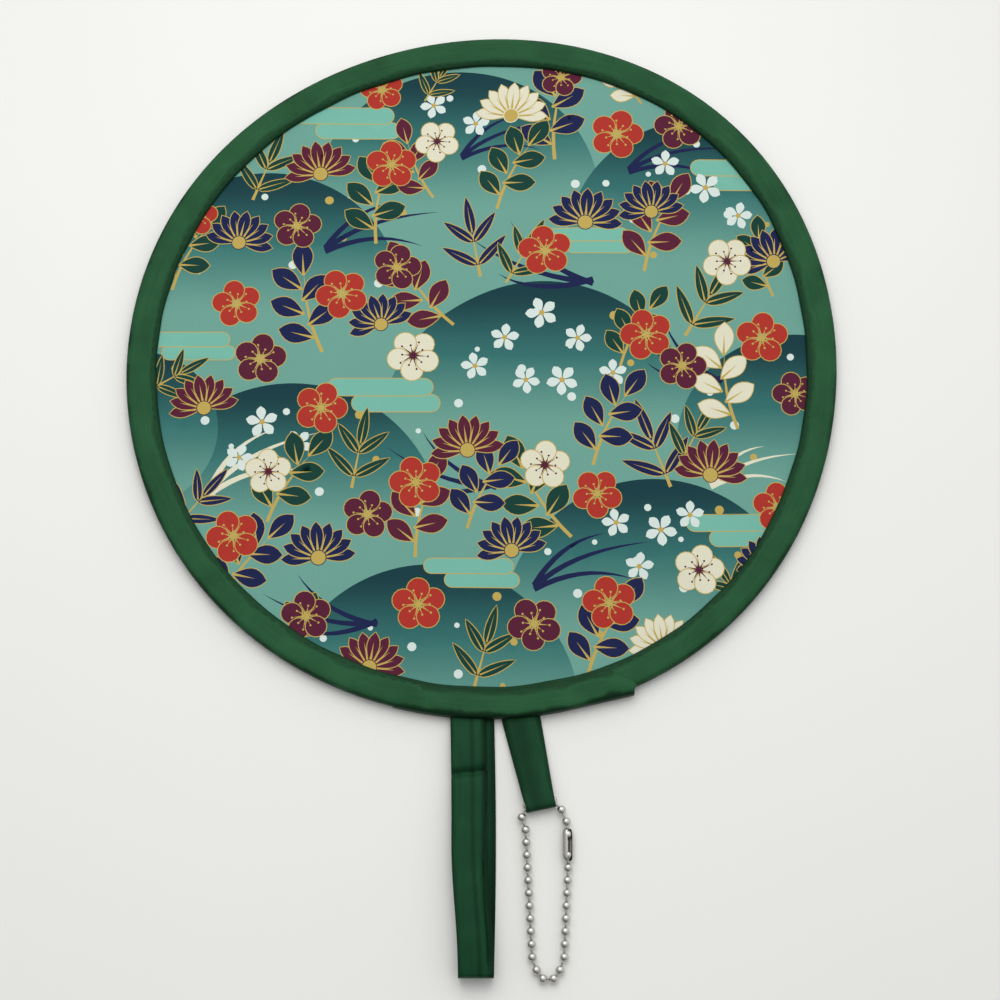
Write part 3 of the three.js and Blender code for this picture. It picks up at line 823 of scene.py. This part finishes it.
class FAN_OT_hoop(bpy.types.Operator):
    """Put the sprung steel hoop and its ferrule inside the rim"""

    bl_idname = "fan.hoop"
    bl_label = "Steel hoop"

    def execute(self, context):
        steel = spring_steel("spring_steel", context.scene.fan.chain)
        low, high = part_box("hoop_upper")
        strip = 0.5 * MM
        edge_rounding = 0.12 * MM
        bm = bmesh.new()
        bmesh.ops.create_grid(bm, x_segments=1, y_segments=1, size=0.5)
        bmesh.ops.scale(bm, vec=(strip, high.z - low.z, 1), verts=bm.verts)
        bmesh.ops.bevel(
            bm, geom=bm.verts, offset=edge_rounding, affect="VERTICES", segments=3, profile=0.5, material=-1
        )
        to_rim = Matrix.Translation((high.y - CENTRE.y - strip / 2, 0, 0))
        bmesh.ops.transform(bm, matrix=to_rim @ Matrix.Rotation(math.pi / 2, 4, "X"), verts=bm.verts)
        bmesh.ops.delete(bm, geom=bm.faces, context="FACES_ONLY")
        section = [*bm.verts, *bm.edges]
        bmesh.ops.spin(
            bm, geom=section, cent=(0, 0, 0), axis=(0, 0, 1), angle=FULL_TURN, steps=360, use_merge=True
        )
        bmesh.ops.remove_doubles(bm, verts=bm.verts, dist=1e-7)
        lay_on_disc(bm)
        bmesh.ops.recalc_face_normals(bm, faces=bm.faces)
        hoop = new_piece("steel_hoop", bm, steel)
        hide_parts("hoop_lower", "hoop_upper")
        fold_with_disc(hoop)
        ferrule = frame["nodes"]["hoop_ferrule"]
        ferrule.data.materials.clear()
        ferrule.data.materials.append(steel)
        return {"FINISHED"}


class FAN_OT_binding(bpy.types.Operator):
    """Fold the satin tape over the rim and lap its end"""

    bl_idname = "fan.binding"
    bl_label = "Satin binding"

    def execute(self, context):
        tape = context.scene.fan.tape
        front = [Vector((RIM_RADIUS - depth * MM, height * MM)) for depth, height in RIM_FRONT]
        back = [Vector((point.x, -point.y)) for point in reversed(front)]
        section, width = curve_through(front + back, SECTION_POINTS)
        # Painted shade: the dye is darker along the sewn edge and round the outer fold.
        sewn_edge_shade = (width / 2 - 0.5 * tape.shaded_hem, width / 2 - tape.shaded_hem, 0.5)
        outer_fold_shade = (1.2 * MM, 2.3 * MM, 0.45)
        satin = polyester_satin("polyester_satin", tape, tape.satin, RIM_SHINE, (sewn_edge_shade, outer_fold_shade))
        steps = POINTS_IN_A_STITCH * tape.stitches
        bm = tape_grid(FULL_TURN * RIM_RADIUS, width, steps, len(section) - 1)

        def fold(along, across):
            radius, height = nearest(section, across / width + 0.5)
            return self.ruffle(radius, along / RIM_RADIUS, height, tape.stitches)

        lay_tape(bm, fold)
        bmesh.ops.remove_doubles(bm, verts=bm.verts, dist=1e-6)
        binding = new_piece("satin_binding", bm, satin)
        thicken(binding, tape.thickness, 1)
        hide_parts("binding_lower", "binding_upper")
        fold_with_disc(binding)
        self.lap(tape)
        return {"FINISHED"}

    def ruffle(self, radius, angle, height, stitches):
        """A point of the tape: drawn in at each stitch, gathered along its sewn edge, flat on the floor."""
        depth = inset(radius)
        x, y = 9 * math.cos(angle), 9 * math.sin(angle)
        side = math.copysign(1, height)
        edge = smooth(4, 8, depth)
        swell = smooth(7.5, 5.5, depth) * smooth(0.5, 2.5, depth)
        stitch = edge * 0.03 * math.cos(angle * stitches) * (1 - abs(radius - SEAM_RADIUS) / (4 * MM))
        gather = 0.1 * wobble(x, y, side) + 0.09 * wobble(3 * x, 3 * y, side)
        waver = edge * (0.32 * wobble(0.8 * x, 0.8 * y, 4) + 0.12 * wobble(x, y, 7))
        lift = (gather * (swell + 0.6 * edge) + stitch) * side
        return on_disc(radius + waver * MM, angle, max(height + lift * MM, -RIM_HALF))

    def lap(self, tape):
        """The tape's cut end lies over its beginning and runs out straight from the rim."""
        leaf = [(depth - LAP_OVER * (depth < 0.5), height + LAP_OVER) for depth, height in RIM_FRONT[2:]]
        points = [Vector((RIM_RADIUS - depth * MM, height * MM)) for depth, height in (*leaf, *LAP_UNDER)]
        section, width = curve_through(points, SECTION_POINTS)
        half = width * np.argmin(abs(section[:, 1])) / (len(section) - 1)
        span = LAP_END - LAP_START
        length = span * RIM_RADIUS
        bm = tape_grid(length, width, 96, len(section) - 1, half - width / 2)

        def fold(along, across):
            share = along / length + 0.5
            radius, height = nearest(section, across / width + 0.5)
            depth = inset(radius)
            slant = math.radians(np.interp(depth, *LAP_CUT))
            angle = LAP_START + share * span + slant * smooth(0.75, 1, share)
            run_out = RIM_RADIUS * (1 / math.cos(max(0, angle - LAP_STRAIGHT)) - 1) * smooth(7, -0.2, depth)
            sink = 0.4 * MM * (1 - smooth(0, 0.5, share))
            out = Vector((math.cos(angle), math.sin(angle), 0)) * (run_out - 0.5 * sink)
            return self.ruffle(radius, angle, height - sink, tape.stitches) + out

        lay_tape(bm, fold)
        # Painted shade along the lap's sewn edge and round its outer fold.
        sewn_edge_shade = (half - 0.3 * tape.shaded_hem, half - 0.8 * tape.shaded_hem, 0.42)
        outer_fold_shade = (2.2 * MM, 3.4 * MM, 0.3)
        satin = polyester_satin("polyester_satin_lap", tape, tape.satin, RIM_SHINE, (sewn_edge_shade, outer_fold_shade))
        lap = new_piece("binding_lap_end", bm, satin)
        thicken(lap, LAP_THICKNESS, -1)
        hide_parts("binding_lap")
        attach(lap, "fan_lower")


class FAN_OT_seam(bpy.types.Operator):
    """Sew the tape to the cloth with a row of stitches on each side"""

    bl_idname = "fan.seam"
    bl_label = "Seam stitches"

    def execute(self, context):
        tape = context.scene.fan.tape
        half_width, half_height = 0.17 * MM, 0.15 * MM
        half_length = 0.44 * FULL_TURN * SEAM_RADIUS / tape.stitches
        sunk = 0.07 * MM
        height = MM * np.interp(inset(SEAM_RADIUS), *zip(*reversed(RIM_FRONT[:5]))) - sunk
        bm = bmesh.new()
        for side in (1, -1):
            place = Matrix.Translation((SEAM_RADIUS, 0, side * height))
            shape = Matrix.Diagonal((half_width, half_length, half_height, 1))
            bmesh.ops.create_uvsphere(bm, u_segments=8, v_segments=6, radius=1, matrix=place @ shape)
        half_step = Matrix.Rotation(math.pi / tape.stitches, 4, "Z")
        bmesh.ops.transform(bm, matrix=half_step, verts=bm.verts)
        pair = [*bm.verts, *bm.edges, *bm.faces]
        bmesh.ops.spin(
            bm, geom=pair, cent=(0, 0, 0), axis=(0, 0, 1), angle=FULL_TURN * (1 - 1 / tape.stitches),
            steps=tape.stitches - 1, use_duplicate=True,
        )
        lay_on_disc(bm)
        stitches = new_piece("seam_stitches", bm, polyester_thread("polyester_thread", tape))
        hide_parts("seam_thread_lower", "seam_thread_upper")
        fold_with_disc(stitches)
        return {"FINISHED"}


# Strap and tab

STRAP_SHINE = 0.25
STRAP_FRONT = (  # the upper layer with its sewn fold: mm below the top, height in mm over the lowest point
    (0, 1.7), (2, 1.85), (6, 2.6), (11, 3.4), (14, 3.6), (15, 3.25), (15.8, 2.5), (16.4, 2.5),
    (17.4, 3.1), (19, 3.6), (30, 4.5), (42, 5.1), (54, 5.7), (61, 5.9),
)
STRAP_BEND = (  # the bend and the lower layer: mm above the strap's foot, height in mm
    (1.2, 5.5), (0.4, 4.6), (0.2, 3.1), (0.4, 1.5), (1.2, 0.6), (3, 0.25), (12, 0.25), (40, 0.3),
)
STRAP_SPREAD = 2.6 * MM  # how much wider than its tape the CAD strap is, since its layers lie askew
STRAP_THICKNESS, TAB_THICKNESS = 0.4 * MM, 0.34 * MM
# Painted shade on the strap: dark lines, each with its place across, reach to each side and tone
STRAP_CREASE_SHADES = ((0.9 * MM, 1.1 * MM, 0.55), (4.0 * MM, 1.5 * MM, 0.35))
TAB_TOP_WIDTH, TAB_END_WIDTH = 10.2 * MM, 7.9 * MM
# Painted shade on the tab: a broad dark band, with its place across, reach to each side and tone
TAB_CREASE_SHADES = ((-1.2 * MM, 4.6 * MM, 0.6),)
TUNNEL_RADIUS = 1.57 * MM
TUNNEL = (  # the tab's bend round the chain: out and up in tunnel radii
    (0, 1), (0.6, 0.98), (0.9, 0.75), (1, 0.3), (1, -0.3), (0.8, -0.8), (0, -1),
)


class FAN_OT_strap(bpy.types.Operator):
    """Hang the loop of tape that serves as a strap"""

    bl_idname = "fan.strap"
    bl_label = "Hand strap"

    def execute(self, context):
        tape = context.scene.fan.tape
        low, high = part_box("hand_strap")
        top, foot, rest = high.y + TUCKED_IN, low.y, low.z
        path = [(top - down * MM, rest + height * MM) for down, height in STRAP_FRONT]
        path += [(foot + up * MM, rest + height * MM) for up, height in STRAP_BEND]
        path.append((top, rest + 0.5 * MM))
        line, length = curve_through(path, 301)
        turn = np.argmin(line[:, 0]) / len(line)
        width = high.x - low.x - STRAP_SPREAD
        bm = tape_grid(length, width, 300, 24)

        def loop(along, across):
            share = along / length + 0.5
            side = across / width
            tilt = 0.008 * side * smooth(0.04, 0.08, share) * (1 - smooth(0.16, 0.22, share))
            y = nearest(line, share)[0]
            z = nearest(line, share + tilt)[1]
            down = (top - y) / (top - foot)
            is_front = 1 - smooth(turn - 0.02, turn + 0.02, share)
            slide = 2.3 * MM * is_front * (1 - smooth(0.5, 1, down))
            loose = is_front * (1 - smooth(turn - 0.05, turn - 0.004, share))
            fold = 0.54 - 0.26 * smooth(0.1, 0.75, down)
            step = smooth(fold - 0.03, fold + 0.01, side) * (1 - 0.35 * smooth(fold, fold + 0.12, side))
            ply = 1.5 * MM * loose * step
            curl = 0.35 * MM * loose * smooth(0.4, 0.5, abs(side))
            ripple = 0.2 * MM * loose * (wobble(y * 40, side * 2.2, 6) + 0.4 * wobble(y * 200, side * 3, 9))
            bow = 0.5 * MM * math.sin(math.pi * down)
            return Vector((high.x - width / 2 - slide + bow + across, y, z - ply - curl + ripple))

        lay_tape(bm, loop)
        # Painted shade: the shaded satin, darker still along the edges and two crease lines.
        edge = (width / 2 - 0.3 * tape.shaded_selvedge, width / 2 - tape.shaded_selvedge, 0.7)
        satin = polyester_satin(
            "polyester_satin_strap", tape, tape.strap, STRAP_SHINE, (edge,), STRAP_CREASE_SHADES
        )
        strap = new_piece("satin_strap", bm, satin)
        thicken(strap, STRAP_THICKNESS, 0)
        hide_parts("hand_strap")
        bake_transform(strap)
        return {"FINISHED"}


class FAN_OT_tab(bpy.types.Operator):
    """Sew on the short loop of tape that holds the chain"""

    bl_idname = "fan.tab"
    bl_label = "Chain tab"

    def execute(self, context):
        tape = context.scene.fan.tape
        root = PIVOTS["tab_swing"]
        tunnel = PIVOTS["chain_swing"]
        down = Vector((tunnel.x - root.x, tunnel.y - root.y, 0))
        reach = down.length
        down.normalize()
        across_way = Vector((-down.y, down.x, 0))
        rise = tunnel.z - root.z
        path = [(-TUCKED_IN, 0.3 * MM), (0, 0.3 * MM), (0.5 * reach, 1.15 * MM), (0.86 * reach, 1.85 * MM)]
        path += [(reach + out * TUNNEL_RADIUS, rise + up * TUNNEL_RADIUS) for out, up in TUNNEL]
        path += [(0.5 * reach, -0.55 * MM), (0, -0.25 * MM), (-TUCKED_IN, -0.25 * MM)]
        line, length = curve_through(path, 121)
        lowest = 0.2 * MM - root.z
        bm = tape_grid(length, TAB_TOP_WIDTH, 120, 16)

        def loop(along, across):
            out, height = nearest(line, along / length + 0.5)
            share = min(1, max(0, out / reach))
            side = across / TAB_TOP_WIDTH
            droop = 0.85 * MM * (1 - smooth(0.7, 1, share)) * smooth(0.34, 0.5, abs(side))
            ripple = 0.08 * MM * wobble(out * 200, side * 3, 11) * (1 - share)
            width = TAB_TOP_WIDTH + (TAB_END_WIDTH - TAB_TOP_WIDTH) * share
            lift = max(height - droop + ripple, lowest)
            return root + down * out + across_way * side * width + Vector((0, 0, lift))

        lay_tape(bm, loop)
        half = TAB_TOP_WIDTH / 2
        # Painted shade: the shaded satin, darker still along the edges and across a broad band.
        edge = (half - 0.3 * tape.shaded_selvedge, half - tape.shaded_selvedge, 0.6)
        satin = polyester_satin("polyester_satin_tab", tape, tape.strap, STRAP_SHINE, (edge,), TAB_CREASE_SHADES)
        tab = new_piece("satin_tab", bm, satin)
        thicken(tab, TAB_THICKNESS, 0, subdivisions=1)
        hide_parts("chain_tab")
        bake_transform(tab)
        return {"FINISHED"}


# Chain

ROWS = range(1, 10)
LEFT_STRAND = (
    "tunnel_mid", "tunnel_left", *(f"upper_left_{k}" for k in range(1, 5)), *(f"row_{k}_left" for k in ROWS),
    "bend_left", "bend_right",
)
RIGHT_STRAND = ("clasp_lower", *(f"row_{k}_right" for k in ROWS), "bend_right")
CLASP_STRAND = ("tunnel_mid", "tunnel_right", "upper_right_1", "upper_right_2", "clasp_upper")
DRAWN_IN = 0.16  # how far a ball is drawn in round its wire, as a share of its radius
WIRE_INSIDE = 0.12 * MM

SLEEVE_END = (  # share of the sleeve's radius, mm in from its end
    (0.36, 0), (0.62, 0.08), (0.83, 0.36), (0.95, 0.8), (1, 1.4),
)
SLEEVE_WALL = 0.22 * MM
SLIT = math.radians(56)
SLIT_TURN = math.radians(-10)


class FAN_OT_chain(bpy.types.Operator):
    """Make the ball chain, each ball with the link to its neighbour"""

    bl_idname = "fan.chain"
    bl_label = "Ball chain"

    def execute(self, context):
        chain = context.scene.fan.chain
        nickel = nickel_plate("nickel_plate", chain)
        links = {}
        for strand in (LEFT_STRAND, RIGHT_STRAND, CLASP_STRAND):
            for name, following in zip(strand, strand[1:]):
                links.setdefault(name, []).append(following)
                links.setdefault(following, [])
        for name, following in links.items():
            self.ball(name, following, chain, nickel)
        return {"FINISHED"}

    def centre(self, name, chain):
        """The middle of a ball, one radius below the topmost point of its CAD solid along Y."""
        corners = frame["nodes"]["bead_" + name].data.vertices
        top = max(corners, key=lambda corner: corner.co.y).co
        return top - Vector((0, chain.ball / 2, 0))

    def ball(self, name, following, chain, nickel):
        """A hollow ball, drawn in where its wire comes out, and the wire."""
        node = frame["nodes"]["bead_" + name]
        radius, wire = chain.ball / 2, chain.wire / 2
        at = self.centre(name, chain)
        ways = [self.centre(other, chain) - at for other in following]
        axis = ways[0] if ways else Vector((0, 1, 0))
        bm = bmesh.new()
        bmesh.ops.create_uvsphere(bm, u_segments=28, v_segments=20, radius=radius)
        for vert in bm.verts:
            off_axis = vert.co.xy.length / radius
            vert.co.z *= 1 - DRAWN_IN * (1 - smooth(0.22, 0.42, off_axis))
        bmesh.ops.transform(bm, matrix=axis.to_track_quat("Z", "Y").to_matrix().to_4x4(), verts=bm.verts)
        for way in ways:
            length = way.length - radius + WIRE_INSIDE
            turn = way.to_track_quat("Z", "Y").to_matrix().to_4x4()
            place = Matrix.Translation(way.normalized() * length / 2) @ turn
            bmesh.ops.create_cone(
                bm, cap_ends=True, segments=12, radius1=wire, radius2=wire, depth=length, matrix=place
            )
        bmesh.ops.translate(bm, vec=at, verts=bm.verts)
        ball = new_piece("ball_" + name, bm, nickel)
        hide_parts(node.name)
        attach(ball, node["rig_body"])


class FAN_OT_connector(bpy.types.Operator):
    """Close the chain with its split sleeve"""

    bl_idname = "fan.connector"
    bl_label = "Chain connector"

    def execute(self, context):
        nickel = nickel_plate("nickel_plate_connector", context.scene.fan.chain)
        low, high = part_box("chain_connector")
        half = (high.y - low.y) / 2
        radius = (high.z - low.z) / 2
        profile = [(share * radius, depth * MM - half) for share, depth in SLEEVE_END]
        profile += [(r, -y) for r, y in reversed(profile)]
        bm = bmesh.new()
        corners = [bm.verts.new((r, y, 0)) for r, y in profile]
        for a, b in zip(corners, corners[1:]):
            bm.edges.new((a, b))
        straight = [edge for edge in bm.edges if edge.calc_length() > half]
        bmesh.ops.subdivide_edges(bm, edges=straight, cuts=5)
        to_slit = Matrix.Rotation(-SLIT / 2, 3, "Y")
        bmesh.ops.rotate(bm, cent=(0, 0, 0), matrix=to_slit, verts=bm.verts)
        bmesh.ops.spin(
            bm, geom=[*bm.verts, *bm.edges], cent=(0, 0, 0), axis=(0, -1, 0), angle=SLIT - FULL_TURN, steps=40
        )
        bmesh.ops.rotate(bm, cent=(0, 0, 0), matrix=Matrix.Rotation(SLIT_TURN, 3, "Y"), verts=bm.verts)
        bmesh.ops.translate(bm, vec=(low + high) / 2, verts=bm.verts)
        bmesh.ops.recalc_face_normals(bm, faces=bm.faces)
        sleeve = new_piece("split_sleeve", bm, nickel)
        thicken(sleeve, SLEEVE_WALL, -1, subdivisions=1)
        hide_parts("chain_connector")
        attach(sleeve, "connector")
        return {"FINISHED"}


# Stage, with places measured from the disc's centre

FLOOR_REACH = 40.0  # metres, so that the floor meets the horizon in low views
FLOOR_DROP = 0.05 * MM
CAMERA_PLACE = Vector((4.86, -184.4, 587.6)) * MM
LAMP_PLACE = Vector((-0.02, 0.13, 0.38))
TO_WINDOW = (0.3, 0.8, 0.52)


class FAN_OT_stage(bpy.types.Operator):
    """Set the floor, the soft light and the camera"""

    bl_idname = "fan.stage"
    bl_label = "Stage"

    def execute(self, context):
        scene = context.scene
        stage = scene.fan.stage
        scene.view_settings.view_transform = "Standard"
        bm = bmesh.new()
        bmesh.ops.create_grid(bm, x_segments=2, y_segments=2, size=FLOOR_REACH)
        floor = new_piece("floor", bm, matt_paper("matt_paper", stage))
        floor.data.transform(Matrix.Translation((0, 0, -FLOOR_DROP)))
        self.camera(scene, stage)
        self.lamp(scene, stage)
        self.room(scene, stage)
        return {"FINISHED"}

    def camera(self, scene, stage):
        data = bpy.data.cameras.new("camera")
        data.lens = stage.lens
        data.sensor_width = 36
        data.clip_start = 0.01
        camera = bpy.data.objects.new("camera", data)
        camera.location = CENTRE + CAMERA_PLACE
        camera.rotation_euler = (math.pi / 2 - stage.elevation, 0, 0)
        scene.collection.objects.link(camera)
        scene.camera = camera

    def lamp(self, scene, stage):
        data = bpy.data.lights.new("window_softbox", "AREA")
        data.shape = "DISK"
        data.size = stage.lamp
        data.energy = stage.key
        lamp = bpy.data.objects.new("window_softbox", data)
        lamp.location = CENTRE + LAMP_PLACE
        lamp.rotation_euler = (-LAMP_PLACE).to_track_quat("-Z", "Y").to_euler()
        scene.collection.objects.link(lamp)

    def room(self, scene, stage):
        """A pale room, brighter towards its window beyond the fan than where the camera stands."""
        world = bpy.data.worlds.new("pale_room")
        world.use_nodes = True
        tree = world.node_tree
        way = add_node(tree, "TexCoord")
        to_window = add_node(tree, "VectorMath", {
            0: way.outputs["Generated"], 1: TO_WINDOW,
        }, operation="DOT_PRODUCT")
        depth = add_node(tree, "MapRange", {
            "Value": to_window.outputs["Value"], "From Min": -0.6, "From Max": 1.0, "To Min": 0.1,
            "To Max": 1.5,
        })
        strength = add_node(tree, "Math", {0: depth.outputs[0], 1: stage.sky}, operation="MULTIPLY")
        connect(tree, tree.nodes["Background"], {"Color": stage.room, "Strength": strength.outputs[0]})
        scene.world = world


OPERATORS = (
    FAN_OT_stage, FAN_OT_cloth, FAN_OT_hoop, FAN_OT_binding, FAN_OT_seam, FAN_OT_strap, FAN_OT_tab,
    FAN_OT_chain, FAN_OT_connector,
)


class FAN_PT_panel(bpy.types.Panel):
    """Lists the fan's pieces"""

    bl_idname = "FAN_PT_panel"
    bl_label = "Hoop Fan"
    bl_space_type = "VIEW_3D"
    bl_region_type = "UI"
    bl_category = "Hoop Fan"

    def draw(self, context):
        for operator in OPERATORS:
            self.layout.operator(operator.bl_idname)


CLASSES = (PrintSettings, TapeSettings, ChainSettings, StageSettings, FanSettings, *OPERATORS, FAN_PT_panel)


def register():
    for kind in CLASSES:
        bpy.utils.register_class(kind)
    bpy.types.Scene.fan = bpy.props.PointerProperty(type=FanSettings)


def unregister():
    del bpy.types.Scene.fan
    for kind in reversed(CLASSES):
        bpy.utils.unregister_class(kind)


def main():
    register()
    bpy.ops.fan.stage()
    bpy.ops.fan.cloth()
    bpy.ops.fan.hoop()
    bpy.ops.fan.binding()
    bpy.ops.fan.seam()
    bpy.ops.fan.strap()
    bpy.ops.fan.tab()
    bpy.ops.fan.chain()
    bpy.ops.fan.connector()


if __name__ == "__main__":
    main()
